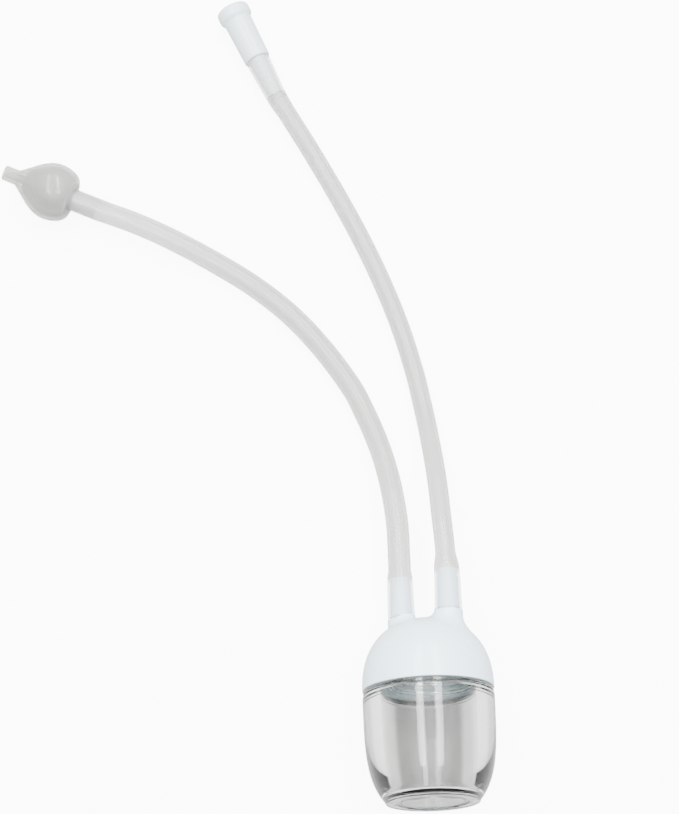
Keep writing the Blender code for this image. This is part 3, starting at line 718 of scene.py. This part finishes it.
@dataclass
class Valve:
    """The duckbill backflow valve on the inner end of the nose port."""

    cap: Cap
    top: float = 13.99 * MM
    sleeve: float = 4.6 * MM
    cone: float = 3.7 * MM
    radius: float = 4.3 * MM
    lip_radius: float = 2.2 * MM
    bore: float = 3.4 * MM
    slit: float = 0.6 * MM
    press: float = 0.72

    def build(self, finishes: Finishes) -> bpy.types.Object:
        """Make the valve, with its cone pressed flat towards a slit.

        Args:
            finishes: the object's materials.

        Returns:
            The valve.
        """
        step = self.top - self.sleeve
        lip = step - self.cone
        inner_step = step + 0.3 * MM
        profile = rounded([
            (self.radius, self.top, 0.4 * MM), (self.radius, step, 0.5 * MM),
            (self.lip_radius, lip, 0.2 * MM), (self.slit, lip, 0.1 * MM),
            (self.cap.stem_bore, step - 0.4 * MM, 0.3 * MM),
            (self.cap.stem_bore, inner_step, 0.1 * MM),
            (self.bore, inner_step, 0.1 * MM), (self.bore, self.top, 0.2 * MM)], closed=True)
        work = spun(profile, 72, closed=True)
        bmesh.ops.subdivide_edges(work, edges=[e for e in work.edges if abs(
            e.verts[0].co.z - e.verts[1].co.z) > 2.0 * MM], cuts=6)
        for vert in work.verts:
            if vert.co.z < step:
                share = (step - vert.co.z) / self.cone
                vert.co.y *= 1.0 - self.press * share * share * (3.0 - 2.0 * share)
        bmesh.ops.recalc_face_normals(work, faces=work.faces)
        bmesh.ops.translate(work, verts=work.verts, vec=(-self.cap.port_offset, 0.0, 0.0))
        item = finished(work, "duckbill_valve", self.cap.place())
        return dress(item, finishes.valve, Slot.VALVE, Body.VALVE, "backflow_valve")


# -------------------------------------------------------------------- hoses
@dataclass
class Grip:
    """How one end of a hose sits on a stem, and whether the stem is white."""

    root_radius: float
    tip_radius: float
    length: float
    white: bool = True


@dataclass
class Hose:
    """A hollow silicone hose stretched over a stem at each end."""

    name: str
    node: str
    body: Body
    route: list[Vector]
    radius: float
    bore: float
    grips: tuple[Grip, Grip]
    taper: float
    fit: float = 0.3 * MM
    stretched_wall: float = 0.7 * MM
    spacing: float = 0.8 * MM
    lines: list[Vector] = field(default_factory=list)

    def __post_init__(self) -> None:
        """Work out the smooth centreline."""
        dense = self._smooth()
        total = sum((b - a).length for a, b in zip(dense, dense[1:]))
        count = int(total / self.spacing)
        self.total = total
        self.lines = [self._at(dense, total * i / count) for i in range(count + 1)]

    def _smooth(self, per_span: int = 24) -> list[Vector]:
        """Make dense points on one smooth curve through the route.

        Args:
            per_span: how many points each span has.

        Returns:
            The points, in metres.
        """
        route = self.route
        tangents = [(route[min(i + 1, len(route) - 1)] - route[max(i - 1, 0)]).normalized()
                    for i in range(len(route))]
        dense: list[Vector] = []
        for i in range(len(route) - 1):
            third = (route[i + 1] - route[i]).length / 3.0
            dense += interpolate_bezier(route[i], route[i] + tangents[i] * third,
                                        route[i + 1] - tangents[i + 1] * third,
                                        route[i + 1], per_span)[:-1]
        dense.append(route[-1])
        return dense

    @staticmethod
    def _at(dense: Sequence[Vector], distance: float) -> Vector:
        """Find the point at a distance along a dense path.

        Args:
            dense: the path's points.
            distance: how far along it.

        Returns:
            The point.
        """
        left = distance
        for start, end in zip(dense, dense[1:]):
            length = (end - start).length
            if left <= length:
                return start.lerp(end, left / length)
            left -= length
        return dense[-1].copy()

    def _size_at(self, distance: float, free: float, inner: bool) -> float:
        """Radius of the outer or inner wall at a distance from the hose's start.

        Args:
            distance: how far along the hose.
            free: the wall's radius away from the stems.
            inner: whether it is the inner wall.

        Returns:
            The radius.
        """
        first, last = self.grips
        for grip, gone in ((first, distance), (last, self.total - distance)):
            held = grip.length + self.fit
            share = min(1.0, gone / held)
            stem = grip.root_radius + (grip.tip_radius - grip.root_radius) * share
            tight = stem + self.fit + (0.0 if inner else self.stretched_wall)
            if gone <= held:
                return tight
            if gone <= held + self.taper:
                share = (gone - held) / self.taper
                share = share * share * (3.0 - 2.0 * share)
                return tight + (free - tight) * share
        return free

    def _tube(self, free: float, inner: bool) -> bmesh.types.BMesh:
        """One open round tube along the centreline.

        Args:
            free: its radius away from the stems.
            inner: whether it is the bore.

        Returns:
            The tube, with its faces outwards, or inwards if it is the bore.
        """
        curve = bpy.data.curves.new("guide", "CURVE")
        curve.dimensions = "3D"
        curve.bevel_depth = 1.0
        curve.bevel_resolution = 7
        spline = curve.splines.new("POLY")
        spline.points.add(len(self.lines) - 1)
        step = self.total / (len(self.lines) - 1)
        for i, (target, point) in enumerate(zip(spline.points, self.lines)):
            target.co = (*point, 1.0)
            target.radius = self._size_at(i * step, free, inner)
        guide = bpy.data.objects.new("guide", curve)
        bpy.context.scene.collection.objects.link(guide)
        bpy.context.view_layer.update()
        graph = bpy.context.evaluated_depsgraph_get()
        mesh = bpy.data.meshes.new_from_object(guide.evaluated_get(graph))
        bpy.data.objects.remove(guide, do_unlink=True)
        work = bmesh.new()
        work.from_mesh(mesh)
        bpy.data.meshes.remove(mesh)
        bmesh.ops.remove_doubles(work, verts=work.verts, dist=MERGE)
        bmesh.ops.recalc_face_normals(work, faces=work.faces)
        return work

    def build(self, material: bpy.types.Material,
              on_stems: Sequence[bpy.types.Material]) -> bpy.types.Object:
        """Make the hose as one closed wall with a bore through it.

        Args:
            material: its silicone.
            on_stems: copies of the silicone for where it is tight on a white stem, from the start;
                the copy for the cap's stems carries painted light of the lit stem showing through.

        Returns:
            The hose.
        """
        work = self._tube(self.radius, inner=False)
        hollow = self._tube(self.bore, inner=True)
        keep = bpy.data.meshes.new("hollow")
        hollow.to_mesh(keep)
        hollow.free()
        work.from_mesh(keep)
        bpy.data.meshes.remove(keep)
        rims = [edge for edge in work.edges if edge.is_boundary]
        for end in (self.lines[0], self.lines[-1]):
            near = [edge for edge in rims if (edge.verts[0].co - end).length < 2.0 * self.radius]
            bmesh.ops.bridge_loops(work, edges=near)
        bmesh.ops.recalc_face_normals(work, faces=work.faces)
        self._mark_lie(work)
        held = [face.material_index for face in work.faces]
        item = finished(work, self.name)
        dress(item, material, Slot.HOSE, self.body, self.node)
        for tight in on_stems:
            item.data.materials.append(tight)
        item.data.polygons.foreach_set("material_index", held)
        return item

    def _mark_lie(self, work: bmesh.types.BMesh) -> None:
        """Store how the wall lies, so that streaks follow the hose, and mark its held ends, which
        take the stem copies; the copy on the cap's stems carries painted light.

        Args:
            work: the hose's wall.
        """
        layer = work.verts.layers.float_vector.new("lie")
        step = self.total / (len(self.lines) - 1)
        nearest = 0
        for vert in work.verts:
            window = range(max(0, nearest - 4), min(len(self.lines), nearest + 5))
            nearest = min(window, key=lambda i: (self.lines[i] - vert.co).length_squared)
            if (self.lines[nearest] - vert.co).length > 2.0 * self.radius:
                nearest = min(range(len(self.lines)),
                              key=lambda i: (self.lines[i] - vert.co).length_squared)
            out = (vert.co - self.lines[nearest]).normalized()
            vert[layer] = (out.x, out.z, nearest * step * LIE_SCALE)
        first, last = self.grips
        for face in work.faces:
            along = sum(vert[layer].z for vert in face.verts) / len(face.verts) / LIE_SCALE
            # Faces on the cap's stems take the copy with painted light; faces on the mouthpiece's
            # stem take the more see-through copy.
            if along < first.length:
                face.material_index = 1
            elif self.total - along < last.length and last.white:
                face.material_index = 2


# ------------------------------------------------- nose tip and mouthpiece
def aimed(end: Point3, heading: float, pitch: float) -> tuple[Vector, Matrix]:
    """A direction, and the frame at a point whose local +Z runs along it.

    Args:
        end: where the frame sits.
        heading: direction over the table, in degrees from +X.
        pitch: degrees that it rises.

    Returns:
        The unit direction and the frame.
    """
    flat, up = math.radians(heading), math.radians(pitch)
    way = Vector((math.cos(flat) * math.cos(up), math.sin(flat) * math.cos(up), math.sin(up)))
    turn = way.to_track_quat("Z", "Y").to_matrix().to_4x4()
    return way, Matrix.Translation(end) @ turn


@dataclass
class NoseTip:
    """The soft bell with its nozzle, and the connector that holds it."""

    nozzle: float = 2.5 * MM
    nozzle_bore: float = 1.3 * MM
    nozzle_length: float = 4.5 * MM
    bell: float = 9.4 * MM
    cone: float = 12.5 * MM
    heel: float = 7.2 * MM
    lip: float = 5.6 * MM
    wall: float = 1.2 * MM
    sleeve_end: float = 16.5 * MM
    connector_radius: float = 2.6 * MM
    connector_bore: float = 1.6 * MM
    flange: float = 3.6 * MM
    flange_length: float = 0.8 * MM
    front: float = 8.5 * MM
    back: float = 15.0 * MM
    gap: float = 0.3 * MM
    swell: float = 1.15
    heading: float = 156.6
    pitch: float = 4.0

    def __post_init__(self) -> None:
        """Aim the tip."""
        self.way, self.place = aimed(NOSE_TIP_END, self.heading, self.pitch)

    def at(self, distance: float) -> Vector:
        """The point on the tip's axis that far behind the nozzle's end."""
        return Vector(NOSE_TIP_END) - self.way * distance

    def hose_end(self) -> float:
        """How far behind the nozzle's end the hose stops."""
        return self.sleeve_end + self.gap + self.flange_length + 2.0 * self.gap

    def _bell_run(self, start: float, radius: float, count: int) -> list[Point2]:
        """The bell's swelling side, from the nozzle to its widest ring.

        Args:
            start: the height at which it starts.
            radius: its radius there.
            count: how many pieces it has.

        Returns:
            The (radius, height) points.
        """
        root = -self.nozzle_length
        reach = self.bell - radius
        shares = [i / count for i in range(count + 1)]
        return [(radius + reach * math.sin(s * math.pi / 2.0) ** self.swell,
                 start + (root - self.cone - start) * s) for s in shares]

    def build_bell(self, finishes: Finishes) -> bpy.types.Object:
        """Make the bell, nozzle and inner sleeve as one soft piece.

        Args:
            finishes: the object's materials.

        Returns:
            The nose tip.
        """
        root = -self.nozzle_length
        widest = root - self.cone
        back = widest - self.heel
        fit = self.connector_radius + self.gap
        sleeve = fit + self.wall
        heel = self.bell - self.lip
        outside = self._bell_run(root, self.nozzle, 24)
        outside += [(self.lip + heel * math.cos(a), widest - self.heel * math.sin(a))
                    for a in (math.radians(90.0 * i / 16) for i in range(1, 16))]
        thin = heel - self.wall
        inside = [(self.lip + thin * math.sin(a), widest - (self.heel - self.wall) * math.cos(a))
                  for a in (math.radians(90.0 * i / 16) for i in range(1, 16))]
        inner_root = root - 3.0 * self.wall
        inner_reach = self.bell - self.wall - sleeve
        cone_in = [(sleeve + inner_reach * math.sin(s * math.pi / 2.0) ** self.swell,
                    inner_root + (widest - inner_root) * s)
                   for s in (1.0 - i / 16.0 for i in range(16))]
        seat = -self.sleeve_end + self.front + 2.0 * self.gap
        lip_run = rounded([(*outside[-1], 0.0), (self.lip, back, 0.6 * MM),
                           (self.lip - 0.5 * self.wall, back + 0.6 * self.wall, 0.3 * MM),
                           (*inside[0], 0.0)])[1:-1]
        core = rounded([
            (*cone_in[-1], 0.0), (sleeve, inner_root, 0.5 * MM),
            (sleeve, -self.sleeve_end, 0.3 * MM), (fit, -self.sleeve_end, 0.2 * MM),
            (fit, seat, 0.2 * MM),
            (self.nozzle_bore, seat, 0.2 * MM), (self.nozzle_bore, 0.0, 0.3 * MM),
            (self.nozzle, 0.0, 0.45 * MM), (*outside[0], 0.0)])[1:-1]
        work = spun(outside + lip_run + inside + cone_in + core, 128, closed=True)
        item = finished(work, "nose_bell", self.place)
        return dress(item, finishes.tip, Slot.TIP, Body.TIP, "nose_tip")

    def build_connector(self, finishes: Finishes) -> bpy.types.Object:
        """Make the rigid tube between the hose and the bell.

        Args:
            finishes: the object's materials.

        Returns:
            The connector.
        """
        top = -self.sleeve_end - self.gap
        low = top - self.flange_length
        radius, bore = self.connector_radius, self.connector_bore
        front, end = top + self.front, low - self.back
        profile = rounded([
            (radius, front, 0.4 * MM), (radius, top, 0.15 * MM), (self.flange, top, 0.2 * MM),
            (self.flange, low, 0.2 * MM), (radius, low, 0.15 * MM),
            (radius, end + 2.2 * MM, 0.3 * MM), (radius + 0.2 * MM, end + 1.8 * MM, 0.3 * MM),
            (radius - 0.4 * MM, end, 0.2 * MM), (bore, end, 0.15 * MM),
            (bore, front, 0.2 * MM)], closed=True)
        item = finished(spun(profile, 72, closed=True), "bell_connector", self.place)
        return dress(item, finishes.connector, Slot.CONNECTOR, Body.CONNECTOR, "tip_connector")


@dataclass
class Mouthpiece:
    """The white mouthpiece: a tapered body, a rounded collar and a stem."""

    body: float = 15.8 * MM
    joint_radius: float = 4.4 * MM
    body_radius: float = 4.7 * MM
    collar_radius: float = 5.6 * MM
    collar: float = 4.4 * MM
    bore: float = 1.6 * MM
    opening: float = 2.8 * MM
    stem_root: float = 3.05 * MM
    stem_tip: float = 2.4 * MM
    stem: float = 14.0 * MM
    gap: float = 0.6 * MM
    heading: float = 114.0
    pitch: float = 2.4

    def __post_init__(self) -> None:
        """Aim the mouthpiece."""
        self.way, self.place = aimed(MOUTH_JOINT, self.heading, self.pitch)

    def build(self, finishes: Finishes) -> bpy.types.Object:
        """Make the mouthpiece.

        Args:
            finishes: the object's materials.

        Returns:
            The mouthpiece.
        """
        end = self.body + self.collar
        profile = rounded([
            (self.collar_radius - 0.35 * MM, end, 0.7 * MM),
            (self.collar_radius, end - 0.9 * MM, 0.7 * MM),
            (self.collar_radius, self.body + 0.9 * MM, 0.7 * MM),
            (self.body_radius + 0.25 * MM, self.body, 0.4 * MM),
            (self.body_radius, self.body - 0.35 * MM, 0.25 * MM),
            (self.joint_radius, 0.0, 0.45 * MM), (self.stem_root, 0.0, 0.15 * MM),
            (self.stem_tip, 2.2 * MM - self.stem, 0.3 * MM),
            (self.stem_tip + 0.2 * MM, 1.8 * MM - self.stem, 0.3 * MM),
            (self.stem_tip - 0.4 * MM, -self.stem, 0.2 * MM),
            (self.bore, -self.stem, 0.15 * MM), (self.bore, self.body - 1.5 * MM, 1.2 * MM),
            (self.opening, self.body + 1.0 * MM, 0.8 * MM),
            (self.opening + 0.2 * MM, end, 0.4 * MM),
        ], closed=True, segments=5)
        item = finished(spun(profile, 96, closed=True), "mouthpiece_body", self.place)
        return dress(item, finishes.mouth_white, Slot.MOUTHPIECE, Body.MOUTH_END, "mouthpiece")


# -------------------------------------------------------------------- studio
@dataclass
class Studio:
    """Camera, floor and soft light."""

    elevation: float = 71.2
    azimuth: float = 1.84
    distance: float = 0.85
    target: Point3 = (-0.0238, 0.09415, 0.010)
    lens: float = 142.2
    floor_size: float = 6.0
    floor_glow: float = 9.0
    strip_height: float = 1.0
    strip_side: float = 0.29
    strip_along: float = 0.45
    strip_width: float = 0.20
    strip_length: float = 1.8
    strip_watts: float = 28.0

    def camera(self) -> bpy.types.Object:
        """Make the camera and set it as the scene's.

        Returns:
            The camera.
        """
        up, side = math.radians(self.elevation), math.radians(self.azimuth)
        look = Vector((math.sin(side) * math.cos(up), math.cos(side) * math.cos(up),
                       -math.sin(up)))
        data = bpy.data.cameras.new("studio_camera")
        data.sensor_width = 36.0
        data.sensor_fit = "HORIZONTAL"
        data.lens = self.lens
        data.clip_start = 0.05
        data.clip_end = 20.0
        item = bpy.data.objects.new("studio_camera", data)
        item.location = Vector(self.target) - look * self.distance
        item.rotation_mode = "QUATERNION"
        item.rotation_quaternion = look.to_track_quat("-Z", "Y")
        bpy.context.scene.collection.objects.link(item)
        bpy.context.scene.camera = item
        return item

    def floor(self) -> bpy.types.Object:
        """Make the pale floor, which glows only where the camera sees it directly.

        Returns:
            The floor, marked as stage.
        """
        work = bmesh.new()
        bmesh.ops.create_grid(work, x_segments=1, y_segments=1, size=self.floor_size / 2.0)
        item = finished(work, "pale_floor")
        made = bpy.data.materials.new("pale_floor_paper")
        made.use_nodes = True
        shader = made.node_tree.nodes["Principled BSDF"]
        shader.inputs["Base Color"].default_value = (0.50, 0.50, 0.49, 1.0)
        shader.inputs["Roughness"].default_value = 0.8
        shader.inputs["Emission Color"].default_value = (1.0, 1.0, 1.0, 1.0)
        path = made.node_tree.nodes.new("ShaderNodeLightPath")
        glow = made.node_tree.nodes.new("ShaderNodeMath")
        glow.operation = "MULTIPLY"
        glow.inputs[1].default_value = self.floor_glow
        made.node_tree.links.new(path.outputs["Is Camera Ray"], glow.inputs[0])
        made.node_tree.links.new(glow.outputs["Value"], shader.inputs["Emission Strength"])
        item.data.materials.append(made)
        return item

    def lights(self) -> None:
        """Make two long strip lights overhead and a soft sky."""
        for name, side in (("left_strip", -1.0), ("right_strip", 1.0)):
            data = bpy.data.lights.new(name, "AREA")
            data.shape = "RECTANGLE"
            data.size = self.strip_width
            data.size_y = self.strip_length
            data.energy = self.strip_watts
            item = bpy.data.objects.new(name, data)
            item.location = (self.target[0] + side * self.strip_side, self.strip_along,
                             self.strip_height)
            item.rotation_euler = (0.0, side * math.atan2(self.strip_side, self.strip_height), 0.0)
            bpy.context.scene.collection.objects.link(item)
        world = bpy.data.worlds.new("soft_sky")
        world.use_nodes = True
        tree = world.node_tree
        where = tree.nodes.new("ShaderNodeTexCoord")
        split = tree.nodes.new("ShaderNodeSeparateXYZ")
        ramp = tree.nodes.new("ShaderNodeValToRGB")
        ramp.color_ramp.elements[0].position = 0.0
        ramp.color_ramp.elements[0].color = (0.40, 0.41, 0.42, 1.0)
        ramp.color_ramp.elements[1].position = 0.95
        ramp.color_ramp.elements[1].color = (4.2, 4.2, 4.2, 1.0)
        ramp.color_ramp.elements.new(0.5).color = (0.60, 0.61, 0.61, 1.0)
        tree.links.new(where.outputs["Generated"], split.inputs["Vector"])
        tree.links.new(split.outputs["Z"], ramp.inputs["Fac"])
        tree.links.new(ramp.outputs["Color"], tree.nodes["Background"].inputs["Color"])
        bpy.context.scene.world = world


def main() -> None:
    """Build the aspirator in its frame, and the studio round it."""
    logging.basicConfig(level=logging.INFO)
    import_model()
    studio = Studio()
    studio.camera()

    finishes = Finishes()
    cup = Cup()
    cap = Cap(cup)
    tip = NoseTip()
    mouthpiece = Mouthpiece()
    shoulder, stem = cap.shoulder + cap.hose_gap, cap.stem_top
    port_grip = Grip(cap.stem_root, cap.stem_tip, stem - cap.shoulder)
    tip_grip = Grip(tip.connector_radius, tip.connector_radius, tip.back, white=False)
    mouth_grip = Grip(mouthpiece.stem_root, mouthpiece.stem_tip, mouthpiece.stem)
    nose_hose = Hose(
        "nose_hose_tube", "nose_hose", Body.NOSE_LINE,
        [cap.port_point(-1.0, shoulder), cap.port_point(-1.0, stem),
         *map(Vector, NOSE_ROUTE), tip.at(tip.hose_end() + tip.back), tip.at(tip.hose_end())],
        radius=3.5 * MM, bore=2.5 * MM, grips=(port_grip, tip_grip), taper=3.5 * MM)
    joint = Vector(MOUTH_JOINT)
    mouth_hose = Hose(
        "mouth_hose_tube", "mouth_hose", Body.MOUTH_LINE,
        [cap.port_point(1.0, shoulder), cap.port_point(1.0, stem), *map(Vector, MOUTH_ROUTE),
         joint - mouthpiece.way * (mouthpiece.gap + mouthpiece.stem),
         joint - mouthpiece.way * mouthpiece.gap],
        radius=3.1 * MM, bore=2.1 * MM, grips=(port_grip, mouth_grip), taper=6.5 * MM)

    bell = tip.build_bell(finishes)
    connector = tip.build_connector(finishes)
    mouth = mouthpiece.build(finishes)
    nose_hose.build(finishes.hose, [finishes.hose_painted_light_on_port])
    mouth_hose.build(finishes.hose, [finishes.hose_painted_light_on_port, finishes.hose_on_mouth])
    cup.build(finishes)
    SealRing(cup).build(finishes)
    cap.build(finishes)
    Valve(cap).build(finishes)

    studio.floor()
    studio.lights()


if __name__ == "__main__":
    main()
